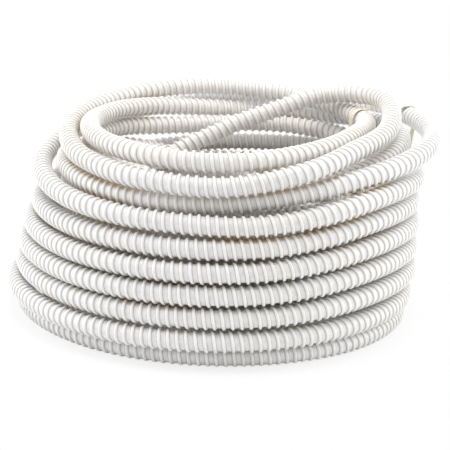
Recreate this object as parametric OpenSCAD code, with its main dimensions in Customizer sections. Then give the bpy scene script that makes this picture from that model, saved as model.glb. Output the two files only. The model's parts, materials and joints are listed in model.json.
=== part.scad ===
// Pool vacuum hose, rolled up and standing as a drum.
// Lengths are in mm, +Z is up, the drum stands on z = 0.
// The hose starts in the core, climbs, winds down the outside of the drum, turns in at the floor,
// winds up the inside, makes its loose top turns and goes back down into the core.

/* [Hose] */
// Outside diameter over the ribs
hose_od = 44; // [40:0.5:46]
// Height of a rib over the valley beside it
rib_height = 4; // [2:0.25:4.5]
// Thickness of the wall in a valley
hose_wall = 1; // [0.6:0.1:1.5]
// Distance from one rib to the next
rib_pitch = 17.5; // [12:0.5:24]

/* [Drum] */
// Clear gap between one turn and the next on top of it
turn_gap = 0.8; // [0.75:0.05:3]
// Turns wound down the outside
outer_turns = 5.25; // [3.25:1:5.25]
// Turns wound up the inside after the hose has turned in
inner_turns = 5.4; // [3.4:1:5.4]
// Depth of the flat on which the lowest turn stands
foot_depth = 4.4; // [2:0.2:6]
// Radius of the inner winding's centre line at the floor
inner_radius = 378; // [370:1:380]

/* [Fixed cuff] */
// Wall of both cuffs' sleeves round the hose
sleeve_wall = 3.6; // [2.6:0.2:5.6]
// Depth of the socket that the hose sits in
socket_depth = 40; // [30:1:44]
// Radial clearance between a socket and the hose
socket_gap = 0.4; // [0.2:0.1:0.8]
// Bore of both mouths, for a 38 mm spigot
mouth_bore = 38.2; // [36:0.1:39]
// Length of the fixed cuff's mouth
mouth_length = 66; // [40:1:90]
// Number of grip rings round the fixed cuff
grip_rings = 5; // [3:1:7]
// Depth of the grooves between the grip rings
grip_depth = 1; // [0.5:0.25:1.5]

/* [Swivel cuff] */
// Wall of the turning cuff round the flange's pocket
swivel_wall = 3.2; // [2.2:0.2:6.2]
// Length of the turning cuff's mouth
swivel_mouth_length = 85; // [50:1:110]
// Wall of the collar's journal round the bore
journal_wall = 6; // [5:0.25:6.5]
// How far the collar's flange stands out from the journal
flange_height = 2.5; // [1.75:0.25:3]
// Thickness of the collar's flange
flange_thickness = 4; // [3:0.5:6]
// Length of the retaining ring
ring_length = 8; // [5:0.5:12]
// Thickness of the face seal
seal_thickness = 2.7; // [1.5:0.1:4]
// Clearance between parts that turn on each other
turning_gap = 0.3; // [0.2:0.05:0.5]
// Number of grip flutes round the turning cuff
flutes = 16; // [8:2:20]
// Depth of a grip flute
flute_depth = 1.2; // [0.6:0.1:1.8]

/* [Tie band] */
// Direction of the band from the drum's axis
band_angle = 25; // [20:0.5:30]
// Width of the band
band_width = 16; // [10:1:20]
// Thickness of the band
band_thickness = 0.8; // [0.5:0.1:1.2]
// Clearance between the band and the turns that it holds
band_gap = 0.9; // [0.8:0.1:1.2]
// Length of the seal clip along the band
clip_length = 30; // [20:1:40]
// Wall of the seal clip
clip_wall = 1.5; // [1:0.1:2]
// Clearance between the seal clip and the band
clip_gap = 0.1; // [0.05:0.05:0.3]

/* [Hidden] */
$fn = 96;
// what a form is made of
loop_rings = 24;
loop_sides = 6;
rib_sides = 8;
spline_steps = 6;
coil_step = 360 / loop_rings;
probe = 1;
// a cut runs this far past the faces that it opens
past = 1;

// the lowest turns clear the band by this much, over this far to either side of it
band_lift = 0.3;
band_step = 125;
band_out = [cos(band_angle), sin(band_angle)];
band_side = [-sin(band_angle), cos(band_angle)];

// radii of the hose and its sockets
hose_r = hose_od / 2;
valley_r = hose_r - rib_height;
bore_r = valley_r - hose_wall;
socket_r = hose_r + socket_gap;
sleeve_r = socket_r + sleeve_wall;
mouth_r = mouth_bore / 2;
journal_r = bore_r + journal_wall;
flange_r = journal_r + flange_height;
pocket_r = flange_r + turning_gap;
swivel_r = pocket_r + swivel_wall;

// the winding: each turn lies one row above the last
row = hose_od + turn_gap;
foot_height = hose_r - foot_depth;
// the outer winding reaches the floor here, and the inner one leaves it there
landing_angle = 190;
leaving_angle = 345;
// how far the lowest turn has gone over from the outer winding to the inner one: it runs half way in
// at the front, comes out again at the right and goes over at the back
crossing = [
    [130, 0], [160, 0.15], [190, 0.35], [220, 0.48], [250, 0.52], [280, 0.5], [300, 0.42], [320, 0.28],
    [345, 0.2], [360, 0.27], [375, 0.42], [390, 0.54], [405, 0.65], [420, 0.76], [435, 0.86],
    [450, 0.93], [465, 0.98], [480, 1],
];
// the inner winding's turns are counted from here
inner_start = 370;
// most of a turn's climb is at the back, so the front lies level
outer_climb = [0.85, 90];
inner_climb = [0.95, 150];
inner_taper = 0.1;
outer_start = -90 - 360 * (outer_turns - 0.25);
inner_end = inner_start + 360 * inner_turns;
// how far outside the inner winding's radius the outer one lies, and its sideways lean, by height
outer_reach = [[18, 58], [62, 58], [107, 52], [151, 49], [196, 44], [240, 33], [285, 27]];
outer_lean = [[18, -31], [62, -29], [107, -15], [151, -13], [196, -7], [240, 0], [285, 16]];
inner_lean = [[18, -26], [62, -22], [107, -13], [151, -9], [196, -4], [240, 0]];
// at the right the outer rows rise by this much by height, in full or in part by direction
outer_rise = [[18, 0], [53, 8], [98, 20], [143, 28], [188, 34], [233, 39], [278, 47]];
rise_share = [
    [0, 0.92], [15, 0.9], [30, 0.84], [45, 0.75], [60, 0.66], [75, 0.6], [90, 0.56], [105, 0.5],
    [120, 0.4], [135, 0.28], [150, 0.16], [165, 0.06], [180, 0], [255, 0], [270, 0.06], [285, 0.22],
    [300, 0.55], [315, 0.88], [330, 1], [345, 0.98], [360, 0.92],
];

// the first end's stretch in the core, as places
start_places = [
    [-176, -9, sleeve_r], [-176, -57, sleeve_r], [-176, -106, sleeve_r], [-162, -176, 22],
    [-122, -236, foot_height], [-62, -276, foot_height], [9, -290, foot_height],
];
// places round the drum, as [angle, distance out from the inner winding's radius, height]:
// up the core's side, over the top and on to the outer winding
upper_turns = [
    [288, -88, foot_height], [312, -81, 26], [340, -80, 53], [365, -84, 92], [390, -87, 136],
    [415, -87, 180], [440, -85, 220], [460, -83, 251],
    [477, -77, 275], [491, -61, 296], [504, -39, 307],
    [516, -22, 312], [530, -17, 321], [545, -22, 327], [562, -17, 326], [582, -10, 320],
    [606, -13, 314], [630, -22, 318], [650, -13, 335], [668, 9, 355], [686, 36, 376],
    [704, 58, 391], [722, 73, 400], [742, 84, 406], [762, 84, 408], [785, 69, 404],
    [810, 51, 392], [836, 36, 374], [862, 31, 354], [885, 31, 332], [908, 31, 312],
    [935, 31, 295], [962, 28, 287],
];
// the loose turns on top of the inner winding
top_turns = [
    [180, -30, 275], [210, -44, 277], [240, -52, 277], [270, -55, 277], [300, -44, 283],
    [325, -22, 294], [345, -8, 306], [365, -8, 319], [385, -8, 330], [405, -11, 344],
    [425, -20, 349], [445, -44, 348], [465, -57, 343], [482, -52, 344], [498, -46, 350],
    [513, -52, 352], [528, -66, 353], [545, -77, 353], [565, -79, 352], [590, -77, 345],
    [610, -72, 334], [630, -68, 326], [655, -61, 330], [680, -44, 350], [700, -22, 367],
    [716, -2, 378], [732, 18, 387], [750, 29, 387], [768, 30, 380], [782, 26, 370],
    [800, 9, 372], [822, -17, 379], [842, -39, 390], [862, -58, 396], [882, -72, 398],
    [902, -74, 401], [922, -68, 400], [942, -52, 400], [962, -33, 400], [982, -22, 400],
    [1000, -28, 403], [1018, -55, 407], [1036, -77, 411], [1055, -88, 414], [1075, -83, 411],
    [1092, -61, 405], [1106, -35, 403], [1120, -15, 405], [1135, -4, 414], [1150, 0, 422],
    [1170, 3, 427], [1186, 5, 427], [1203, 0, 420], [1221, -8, 409], [1240, -20, 400],
    [1258, -27, 389], [1276, -26, 378], [1296, -14, 368], [1322, 0, 360], [1350, 6, 359],
    [1375, 2, 386], [1398, -26, 409], [1418, -28, 420], [1432, -24, 431],
];
// from there across the top as far as the seam, as places
crossing_places = [
    [361, 40, 444], [357, 104, 452], [333, 164, 454], [285, 208, 450], [228, 227, 442],
    [188, 226, 434], [146, 218, 419],
];
// from the seam down to the last end in the core, as places
end_places = [
    [104, 210, 404], [62, 202, 389], [20, 194, 374], [-25, 183, 353], [-110, 156, 315],
    [-194, 114, 273], [-250, 44, 229], [-270, -44, 185], [-252, -124, 145], [-202, -190, 108],
    [-129, -228, 78], [-47, -231, 55], [29, -200, 40], [85, -139, 31], [110, -60, swivel_r],
    [110, -20, swivel_r], [110, 20, swivel_r],
];

function round_drum(p) = [(inner_radius + p[1]) * cos(p[0]), (inner_radius + p[1]) * sin(p[0]), p[2]];
function flat(p) = [p[0], p[1]];
function unit(v) = v / norm(v);
function mix(a, b, share) = a * (1 - share) + b * share;
function blend(p, q, tp, tq, t) = (p * (tq - t) + q * (t - tp)) / (tq - tp);

// centripetal spline through p1 and p2, a share of the way between them
function spline_point(p0, p1, p2, p3, share) =
    let (
        t1 = sqrt(norm(p1 - p0)),
        t2 = t1 + sqrt(norm(p2 - p1)),
        t3 = t2 + sqrt(norm(p3 - p2)),
        t = mix(t1, t2, share),
        a = blend(p0, p1, 0, t1, t),
        b = blend(p1, p2, t1, t2, t),
        c = blend(p2, p3, t2, t3, t)
    )
    blend(blend(a, b, 0, t2, t), blend(b, c, t1, t3, t), t1, t2, t);

// smooth line through all places, with its two ends carried straight on
function spline(places) =
    let (
        last = len(places) - 1,
        p = concat([2 * places[0] - places[1]], places, [2 * places[last] - places[last - 1]])
    )
    concat(
        [for (i = [1 : last], k = [0 : spline_steps - 1])
            spline_point(p[i - 1], p[i], p[i + 1], p[i + 2], k / spline_steps)],
        [places[last]]
    );

// a ramp of one row a turn, steepest at climb[1]
function ramp(angle, climb) = angle / 360 + climb[0] / (2 * PI) * sin(angle - climb[1]);

function winding_height(angle) =
    foot_height
    + row * max(0, ramp(landing_angle, outer_climb) - ramp(angle, outer_climb))
    + row * max(0, ramp(angle, inner_climb) - ramp(leaving_angle, inner_climb));

function outer_place(angle, z) =
    (inner_radius + lookup(z, outer_reach)) * [cos(angle), sin(angle)] + [lookup(z, outer_lean), 0];

function inner_place(angle, z) =
    (inner_radius - inner_taper * z) * [cos(angle), sin(angle)] + [lookup(z, inner_lean), 0];

function winding_place(angle) =
    let (
        z = winding_height(angle),
        share = lookup(angle, crossing),
        rise = lookup(z, outer_rise) * lookup((angle % 360 + 360) % 360, rise_share),
        xy = mix(outer_place(angle, z), inner_place(angle, z), share)
    )
    [xy[0], xy[1], z + rise * (1 - share)];

// the whole hose's centre line, in places that still have the drum's axis at x = y = 0
first_places = concat(start_places, [for (p = upper_turns) round_drum(p)]);
wound_places = [for (angle = [outer_start : coil_step : inner_end]) winding_place(angle)];
later_places = concat([for (p = top_turns) round_drum(p)], crossing_places);
line = spline(concat(first_places, wound_places, later_places, end_places));

// [distance along the line, index] of each of its points
marks = [
    for (i = 0, s = 0; i < len(line); s = s + norm(line[min(i + 1, len(line) - 1)] - line[i]), i = i + 1)
        [s, i]
];
hose_length = marks[len(marks) - 1][0];
seam_index = len(first_places) + len(wound_places) + len(later_places);
seam_at = marks[seam_index * spline_steps][0];

function on_line(s) =
    let (f = lookup(s, marks), i = min(floor(f), len(line) - 2))
    mix(line[i], line[i + 1], f - i);

function heading(s) = unit(on_line(min(s + probe, hose_length)) - on_line(max(s - probe, 0)));

// how far the line turns round the drum's axis, in degrees
function turned(a, b) = atan2(a[0] * b[1] - a[1] * b[0], a[0] * b[0] + a[1] * b[1]);
function sum(v) = v * [for (x = v) 1];
loops = sum([for (i = [0 : seam_index * spline_steps - 1]) turned(line[i], line[i + 1])]) / 360;

// the band holds the turns outside this radius and below this height: it leaves out the loose hose
// in the core and the stretch that crosses over the top
held_radius = inner_radius - hose_od;
held_height = crossing_places[0][2] - hose_r;

// the floor, or the band where the lowest turns pass over it
function floor_under(p) =
    abs(flat(p) * band_side) < band_step && flat(p) * band_out > held_radius - hose_r
        ? band_thickness + band_lift
        : 0;

// a ring of points round the line, flat where it would go below what it stands on
function ring(s, radius, sides) =
    let (
        along = heading(s),
        side = unit(cross([0, 0, 1], along)),
        up = cross(along, side),
        centre = on_line(s)
    )
    [for (k = [0 : sides - 1])
        let (p = centre + radius * (cos(360 * k / sides) * side + sin(360 * k / sides) * up))
        [p[0], p[1], max(floor_under(centre), p[2])]];

// the skin between rings, as triangles seen clockwise, from the point numbered first
function skin(rings, sides, first = 0) = [
    for (i = [0 : rings - 2], k = [0 : sides - 1])
        let (
            a = first + i * sides + k,
            b = first + i * sides + (k + 1) % sides
        )
        each [[a, a + sides, b], [b, a + sides, b + sides]]
];
function flipped(faces) = [for (f = faces) [f[2], f[1], f[0]]];
function cap(sides, first = 0) = [for (k = [1 : sides - 2]) [first, first + k + 1, first + k]];
// the face between an outer ring and the bore's ring
function rim(sides, outer, inner) = [
    for (k = [0 : sides - 1])
        let (n = (k + 1) % sides)
        each [[outer + k, inner + k, outer + n], [inner + k, inner + n, outer + n]]
];

// the coil: one unbroken tube from the first end to the seam
coil_rings = round(loops * loop_rings) + 1;
ring_step = seam_at / (coil_rings - 1);
coil_points = [for (i = [0 : coil_rings - 1]) each ring(i * ring_step, hose_r, loop_sides)];
coil_line = [for (i = [0 : coil_rings - 1]) on_line(i * ring_step)];

// a place on the coil's own line, which runs straight from ring to ring
function on_coil(s) =
    let (f = s / ring_step, i = min(floor(f), coil_rings - 2))
    mix(coil_line[i], coil_line[i + 1], f - i);

// the ribbed stretch: a rib is a crest and a valley, and the bore has one ring to a rib
ribs = round((hose_length - seam_at) / rib_pitch);
rib_step = (hose_length - seam_at) / ribs;
rib_points = [
    for (i = [0 : 2 * ribs])
        each ring(seam_at + i * rib_step / 2, i % 2 == 0 ? hose_r : valley_r, rib_sides)
];
bore_points = [for (i = [0 : ribs]) each ring(seam_at + i * rib_step, bore_r, rib_sides)];

// the drum stands in the middle of its own box
all_x = [for (p = coil_points) p[0]];
all_y = [for (p = coil_points) p[1]];
middle = [(min(all_x) + max(all_x)) / 2, (min(all_y) + max(all_y)) / 2, 0];

// the least gap of the coil to itself, measured from its points to the runs between them, apart from
// this many of its neighbours and from what lies further off than this
gap_neighbours = 6;
gap_reach = 4 * hose_od;
function to_run(p, a, b) =
    let (share = min(1, max(0, (p - a) * (b - a) / ((b - a) * (b - a)))))
    norm(p - mix(a, b, share));
function least_gap(points) =
    min([
        for (i = [0 : len(points) - 1], j = [i + gap_neighbours : 1 : len(points) - 2])
            if (norm(points[i] - points[j]) < gap_reach)
                to_run(points[i], points[j], points[j + 1])
    ]) - hose_od;

// the turns that the band holds, as [radius, height] where they pass it, come to it and leave it
band_reach = band_width / 2 + hose_r / 2;
held_turns = [
    for (i = [0 : len(line) - 2])
        let (a = flat(line[i]) * band_side, b = flat(line[i + 1]) * band_side)
        if (a < 0 && b >= 0)
            let (s = mix(marks[i][0], marks[i + 1][0], a / (a - b)), p = on_line(s))
            if (flat(p) * band_out > held_radius && p[2] < held_height)
                [for (off = [0, -band_reach, band_reach], q = [on_line(s + off), on_coil(s + off)])
                    [flat(q) * band_out, q[2]]]
];

// places along the swivel, from the hose's end face
collar_shoulder = 6;
shoulder_gap = 2;
nose_length = 4;
ring_start = collar_shoulder + shoulder_gap;
flange_start = ring_start + ring_length + turning_gap;
nose = flange_start + flange_thickness + turning_gap + nose_length;
swivel_shoulder = nose + seal_thickness + turning_gap;
chamfer = 1.5;
seal_inset = 0.3;
// a flute's cutter, and the plain stretches before and after the flutes
flute_r = 3 * flute_depth;
flute_sides = 32;
flutes_start = swivel_shoulder + 6;
flutes_end = swivel_shoulder + swivel_mouth_length - 14;

start_end = start_places[0];
last_end = end_places[len(end_places) - 1];

white_hose = [0.90, 0.89, 0.85];
white_cuff = [0.86, 0.86, 0.84];
grey_cuff = [0.55, 0.57, 0.60];
dark_seal = [0.12, 0.12, 0.13];
cream_band = [0.88, 0.83, 0.70];
steel_clip = [0.62, 0.63, 0.65];

// a cuff's axis, leaving the hose's end along +Y
module on_end(place) {
    translate(place - middle)
        rotate([-90, 0, 0])
            children();
}

module pipe(r_out, r_in, from, to) {
    translate([0, 0, from])
        difference() {
            cylinder(h = to - from, r = r_out);
            translate([0, 0, -past])
                cylinder(h = to - from + 2 * past, r = r_in);
        }
}

// the cone that opens a mouth's edge
module mouth_chamfer(end) {
    translate([0, 0, end - chamfer])
        cylinder(h = chamfer + past, r1 = mouth_r, r2 = mouth_r + chamfer + past);
}

module hose_coil() {
    color(white_hose)
        translate(-middle)
            polyhedron(
                points = coil_points,
                faces = concat(
                    skin(coil_rings, loop_sides),
                    flipped(cap(loop_sides)),
                    cap(loop_sides, (coil_rings - 1) * loop_sides)
                )
            );
}

module hose_end() {
    bore_first = (2 * ribs + 1) * rib_sides;
    color(white_hose)
        translate(-middle)
            polyhedron(
                points = concat(rib_points, bore_points),
                faces = concat(
                    skin(2 * ribs + 1, rib_sides),
                    flipped(skin(ribs + 1, rib_sides, bore_first)),
                    flipped(rim(rib_sides, 0, bore_first)),
                    rim(rib_sides, 2 * ribs * rib_sides, bore_first + ribs * rib_sides)
                )
            );
}

// one pitch is left plain before the grip rings, and one after them for the ring at the mouth
module fixed_cuff() {
    grip_pitch = mouth_length / (grip_rings + 2);
    color(white_cuff)
        on_end(start_end)
            difference() {
                union() {
                    translate([0, 0, -socket_depth])
                        cylinder(h = socket_depth + mouth_length, r = sleeve_r - grip_depth);
                    translate([0, 0, -socket_depth])
                        cylinder(h = socket_depth, r = sleeve_r);
                    for (k = [1 : grip_rings])
                        translate([0, 0, k * grip_pitch])
                            cylinder(h = grip_pitch / 2, r = sleeve_r);
                    translate([0, 0, mouth_length - grip_pitch / 2])
                        cylinder(h = grip_pitch / 2, r = sleeve_r);
                }
                translate([0, 0, -socket_depth - past])
                    cylinder(h = socket_depth + past, r = socket_r);
                translate([0, 0, -past])
                    cylinder(h = mouth_length + 2 * past, r = mouth_r);
                mouth_chamfer(mouth_length);
            }
}

module swivel_collar() {
    color(white_cuff)
        on_end(last_end) {
            pipe(sleeve_r, socket_r, -socket_depth, 0);
            pipe(sleeve_r, bore_r, 0, collar_shoulder);
            pipe(journal_r, bore_r, collar_shoulder, nose);
            pipe(flange_r, bore_r, flange_start, flange_start + flange_thickness);
        }
}

module swivel_cuff() {
    color(grey_cuff)
        on_end(last_end)
            difference() {
                translate([0, 0, ring_start])
                    cylinder(h = swivel_shoulder + swivel_mouth_length - ring_start, r = swivel_r);
                translate([0, 0, ring_start - past])
                    cylinder(h = swivel_shoulder - ring_start + past, r = pocket_r);
                cylinder(h = swivel_shoulder + swivel_mouth_length + past, r = mouth_r);
                mouth_chamfer(swivel_shoulder + swivel_mouth_length);
                for (k = [0 : flutes - 1])
                    rotate([0, 0, 360 * (k + 0.5) / flutes])
                        translate([swivel_r + flute_r - flute_depth, 0, flutes_start])
                            cylinder(h = flutes_end - flutes_start, r = flute_r, $fn = flute_sides);
            }
}

module swivel_retaining_ring() {
    color(white_cuff)
        on_end(last_end)
            pipe(pocket_r, journal_r + turning_gap, ring_start, ring_start + ring_length);
}

module swivel_seal() {
    color(dark_seal)
        on_end(last_end)
            pipe(journal_r - seal_inset, bore_r + seal_inset, nose, nose + seal_thickness);
}

// no part of the band lies this far out or up
outline_reach = 2 * held_height;

// the band's outline in its own plane, grown by a distance from the turns and flat at the foot
module band_outline(grow, foot) {
    intersection() {
        hull()
            for (turn = held_turns, place = turn)
                translate(place)
                    circle(r = hose_r + grow);
        translate([0, foot])
            square(outline_reach);
    }
}

// the band's plane: x away from the drum's axis, y up
module on_band() {
    translate(-middle)
        rotate([0, 0, band_angle])
            rotate([90, 0, 0])
                children();
}

module tie_band() {
    color(cream_band)
        on_band()
            linear_extrude(band_width, center = true)
                difference() {
                    band_outline(band_gap + band_thickness, 0);
                    band_outline(band_gap, band_thickness);
                }
}

// the band's straight outer run: of all lines from a held place above this height to one below it,
// the one that lies furthest out there
run_height = held_height / 2;
held_places = [for (turn = held_turns, place = turn) place];
function out_at_run(a, b) = mix(b, a, (run_height - b[1]) / (a[1] - b[1]))[0];
runs = [
    for (a = held_places, b = held_places)
        if (a[1] > run_height && b[1] <= run_height) [out_at_run(a, b), a, b]
];
furthest_out = max([for (run = runs) run[0]]);
outer_run = [for (run = runs) if (run[0] == furthest_out) run][0];
run_top = outer_run[1];
run_foot = outer_run[2];
run_tilt = atan2(run_top[0] - run_foot[0], run_top[1] - run_foot[1]);

module band_clip() {
    slot = [band_thickness + 2 * clip_gap, clip_length + 2 * past, band_width + 2 * clip_gap];
    walls = [2 * clip_wall, 0, 2 * clip_wall];
    color(steel_clip)
        on_band()
            translate((run_top + run_foot) / 2)
                rotate([0, 0, -run_tilt])
                    translate([hose_r + band_gap + band_thickness / 2, 0, 0])
                        difference() {
                            cube([slot[0], clip_length, slot[2]] + walls, center = true);
                            cube(slot, center = true);
                        }
}

hose_coil();
hose_end();
fixed_cuff();
swivel_collar();
swivel_cuff();
swivel_retaining_ring();
swivel_seal();
tie_band();
band_clip();

union() {
    echo(hose_length = hose_length, loops = loops, coil_rings = coil_rings, ribs = ribs);
    echo(coil_gap = least_gap(coil_line));
    echo(middle = middle, start = start_end - middle, last = last_end - middle, nose = nose);
    echo(swivel_shoulder = swivel_shoulder, held_turns = held_turns);
}
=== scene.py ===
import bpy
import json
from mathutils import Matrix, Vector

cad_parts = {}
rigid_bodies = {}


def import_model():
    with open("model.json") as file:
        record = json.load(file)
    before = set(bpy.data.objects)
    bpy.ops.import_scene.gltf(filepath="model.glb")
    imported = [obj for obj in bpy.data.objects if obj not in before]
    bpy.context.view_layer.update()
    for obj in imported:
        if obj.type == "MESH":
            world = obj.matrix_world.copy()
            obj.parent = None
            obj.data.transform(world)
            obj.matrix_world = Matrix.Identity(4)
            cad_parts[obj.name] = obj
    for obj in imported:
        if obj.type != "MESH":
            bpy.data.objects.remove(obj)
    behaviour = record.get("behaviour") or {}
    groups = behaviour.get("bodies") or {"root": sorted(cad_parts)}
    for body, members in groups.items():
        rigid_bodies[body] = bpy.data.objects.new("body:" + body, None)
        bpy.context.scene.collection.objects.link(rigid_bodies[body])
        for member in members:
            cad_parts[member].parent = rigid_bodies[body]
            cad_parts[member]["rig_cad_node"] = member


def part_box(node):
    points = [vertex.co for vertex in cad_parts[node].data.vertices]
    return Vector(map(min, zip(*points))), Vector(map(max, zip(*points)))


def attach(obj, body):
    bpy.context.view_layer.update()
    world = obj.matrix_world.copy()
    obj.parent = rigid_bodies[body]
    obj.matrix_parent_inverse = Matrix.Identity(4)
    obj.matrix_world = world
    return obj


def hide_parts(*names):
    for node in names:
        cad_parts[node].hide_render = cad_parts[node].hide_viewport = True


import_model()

"""A white ribbed pool vacuum hose, rolled up as a standing drum, with its two cuffs and its tie band."""

import json
import logging
import math
from dataclasses import dataclass
from enum import Enum

import bpy
import numpy as np
from mathutils import Matrix, Vector

Socket = bpy.types.NodeSocket
Material = bpy.types.Material
Colour = tuple[float, float, float, float]
Pair = tuple[float, float]
Numbers = tuple[float, ...]
Rows = tuple[Numbers, ...]
Outline = list[Pair]

LOG = logging.getLogger("hose")
MM = 0.001
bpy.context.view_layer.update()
BAKE_MAP = "OFBake"


class Body(Enum):
    """The bodies that pieces ride on."""

    HOSE = "hose"
    SWIVEL = "swivel"


class Slot(Enum):
    """The record's material slots."""

    HOSE_WALL = "hose_wall"
    CUFF_WHITE = "cuff_white"
    CUFF_GREY = "cuff_grey"
    SEAL = "seal_rubber"
    BAND = "band"
    CLIP = "clip_steel"


class Nodes:
    """A small builder for one node tree."""

    def __init__(self, tree: bpy.types.NodeTree) -> None:
        """Clears the tree.

        Args:
            tree: the material's, world's or group's node tree.
        """
        self.tree = tree
        tree.nodes.clear()

    def add(self, kind: str, **values: object) -> bpy.types.Node:
        """Adds a node and sets its properties.

        Args:
            kind: the node's type name.
            values: properties of the node by name.

        Returns:
            The new node.
        """
        node = self.tree.nodes.new(kind)
        for name, value in values.items():
            setattr(node, name, value)
        return node

    def link(self, source: Socket, target: Socket) -> None:
        """Links one socket to another."""
        self.tree.links.new(source, target)

    def feed(self, socket: Socket, value: object) -> None:
        """Links a value to an input, or sets it there where it is a number or a colour."""
        if isinstance(value, Socket):
            self.link(value, socket)
        else:
            socket.default_value = value

    def set(self, node: bpy.types.Node, **values: object) -> bpy.types.Node:
        """Feeds a node's inputs by name.

        Args:
            node: the node whose inputs are set.
            values: the inputs by name, with an underscore for each blank.

        Returns:
            The same node.
        """
        for name, value in values.items():
            self.feed(node.inputs[name.replace("_", " ")], value)
        return node

    def noise(self, where: Socket, scale: float, detail: float = 2.0, roughness: float = 0.55) -> Socket:
        """Gives a noise value at a place.

        Args:
            where: the place.
            scale: how many blotches there are to a metre.
            detail: how many octaves the noise has.
            roughness: how much of it the finer octaves make.

        Returns:
            The noise's value socket.
        """
        node = self.add("ShaderNodeTexNoise")
        self.set(node, Vector=where, Scale=scale, Detail=detail, Roughness=roughness)
        return node.outputs["Fac"]

    def ramp(
        self, value: Socket, low: float, high: float, to_low: float = 0.0, to_high: float = 1.0
    ) -> Socket:
        """Maps a value smoothly from one range to another.

        Args:
            value: the value.
            low: where the range starts.
            high: where the range ends.
            to_low: what low becomes.
            to_high: what high becomes.

        Returns:
            The mapped value's socket.
        """
        node = self.add("ShaderNodeMapRange", interpolation_type="SMOOTHSTEP")
        self.set(node, Value=value, From_Min=low, From_Max=high, To_Min=to_low, To_Max=to_high)
        return node.outputs["Result"]

    def math(self, kind: str, first: object, second: object = 0.0) -> Socket:
        """Adds a math node.

        Args:
            kind: the operation.
            first: a number or a socket.
            second: a number or a socket.

        Returns:
            The result's socket.
        """
        node = self.add("ShaderNodeMath", operation=kind)
        for socket, value in zip(node.inputs, (first, second)):
            self.feed(socket, value)
        return node.outputs[0]

    def mix(self, share: object, first: object, second: object, blend: str = "MIX") -> Socket:
        """Mixes two colours.

        Args:
            share: how much of the second colour, as a number or a socket.
            first: a colour or a socket.
            second: a colour or a socket.
            blend: the way the second colour is laid over the first.

        Returns:
            The mixed colour's socket.
        """
        node = self.add("ShaderNodeMix", data_type="RGBA", blend_type=blend)
        for name, value in (("Factor_Float", share), ("A_Color", first), ("B_Color", second)):
            self.feed(next(s for s in node.inputs if s.identifier == name), value)
        return next(s for s in node.outputs if s.identifier == "Result_Color")

    def bump(self, height: Socket, depth: float, strength: float) -> Socket:
        """Turns a height into a normal.

        Args:
            height: the height, from 0 to 1.
            depth: how deep the relief is, in metres.
            strength: how strongly it shows.

        Returns:
            The normal's socket.
        """
        node = self.add("ShaderNodeBump")
        return self.set(node, Height=height, Distance=depth, Strength=strength).outputs["Normal"]

    def parts(self, vector: Socket) -> bpy.types.bpy_prop_collection:
        """Gives a vector's X, Y and Z sockets by name."""
        node = self.add("ShaderNodeSeparateXYZ")
        self.link(vector, node.inputs[0])
        return node.outputs

    def principled(self, **values: object) -> None:
        """Closes a material with a Principled shader that has these inputs."""
        shader = self.set(self.add("ShaderNodeBsdfPrincipled"), **values)
        self.link(shader.outputs[0], self.add("ShaderNodeOutputMaterial").inputs["Surface"])


def start_material(name: str) -> tuple[Material, Nodes, Socket]:
    """Starts a material.

    Args:
        name: its name.

    Returns:
        The material, the builder of its nodes, and the socket of the place on the object.
    """
    material = bpy.data.materials.new(name)
    material.use_nodes = True
    nodes = Nodes(material.node_tree)
    return material, nodes, nodes.add("ShaderNodeTexCoord").outputs["Object"]


@dataclass(frozen=True)
class Blotches:
    """Soft noise: its blotches to a metre and detail, the range it uses, and the shares that gives."""

    scale: float
    detail: float
    low: float
    high: float
    least: float = 0.0
    most: float = 1.0

    def mask(self, nodes: Nodes, place: Socket) -> Socket:
        """Gives the blotches' share at a place."""
        noise = nodes.noise(place, self.scale, self.detail)
        return nodes.ramp(noise, self.low, self.high, self.least, self.most)


def rgb(red: float, green: float, blue: float) -> Colour:
    """Gives an opaque colour."""
    return (red, green, blue, 1.0)


# how high the dust reaches and the share that stays above it, and its blotches
DUST_REACH = (0.0, 0.16, 1.0, 0.25)
DUST_BLOTCHES = Blotches(9.0, 4.0, 0.42, 0.72)


def dust_group() -> bpy.types.NodeTree:
    """Builds the shared group that lays thin, blotchy dust, most of it near the floor.

    Returns:
        The node group, with the clean colour and the dust's colour and strength as inputs.
    """
    name = "thin_dust"
    if name in bpy.data.node_groups:
        return bpy.data.node_groups[name]
    tree = bpy.data.node_groups.new(name, "ShaderNodeTree")
    for label, way, kind in (
        ("Clean", "INPUT", "Color"), ("Dust", "INPUT", "Color"), ("Amount", "INPUT", "Float"),
        ("Color", "OUTPUT", "Color"),
    ):
        tree.interface.new_socket(label, in_out=way, socket_type=f"NodeSocket{kind}")
    nodes = Nodes(tree)
    entry = nodes.add("NodeGroupInput")
    leave = nodes.add("NodeGroupOutput")
    place = nodes.add("ShaderNodeTexCoord").outputs["Object"]
    low = nodes.ramp(nodes.parts(place)["Z"], *DUST_REACH)
    blotch = nodes.math("MULTIPLY", low, DUST_BLOTCHES.mask(nodes, place))
    share = nodes.math("MULTIPLY", blotch, entry.outputs["Amount"])
    nodes.link(nodes.mix(share, entry.outputs["Clean"], entry.outputs["Dust"]), leave.inputs["Color"])
    return tree


def dusty(nodes: Nodes, clean: Socket, dust: Colour, amount: float) -> Socket:
    """Places the dust group over a colour.

    Args:
        nodes: the material's builder.
        clean: the colour without dust.
        dust: the dust's colour.
        amount: how strong the dust is.

    Returns:
        The dusty colour's socket.
    """
    group = nodes.add("ShaderNodeGroup", node_tree=dust_group())
    nodes.set(group, Clean=clean, Dust=dust, Amount=amount)
    return group.outputs["Color"]


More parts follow.
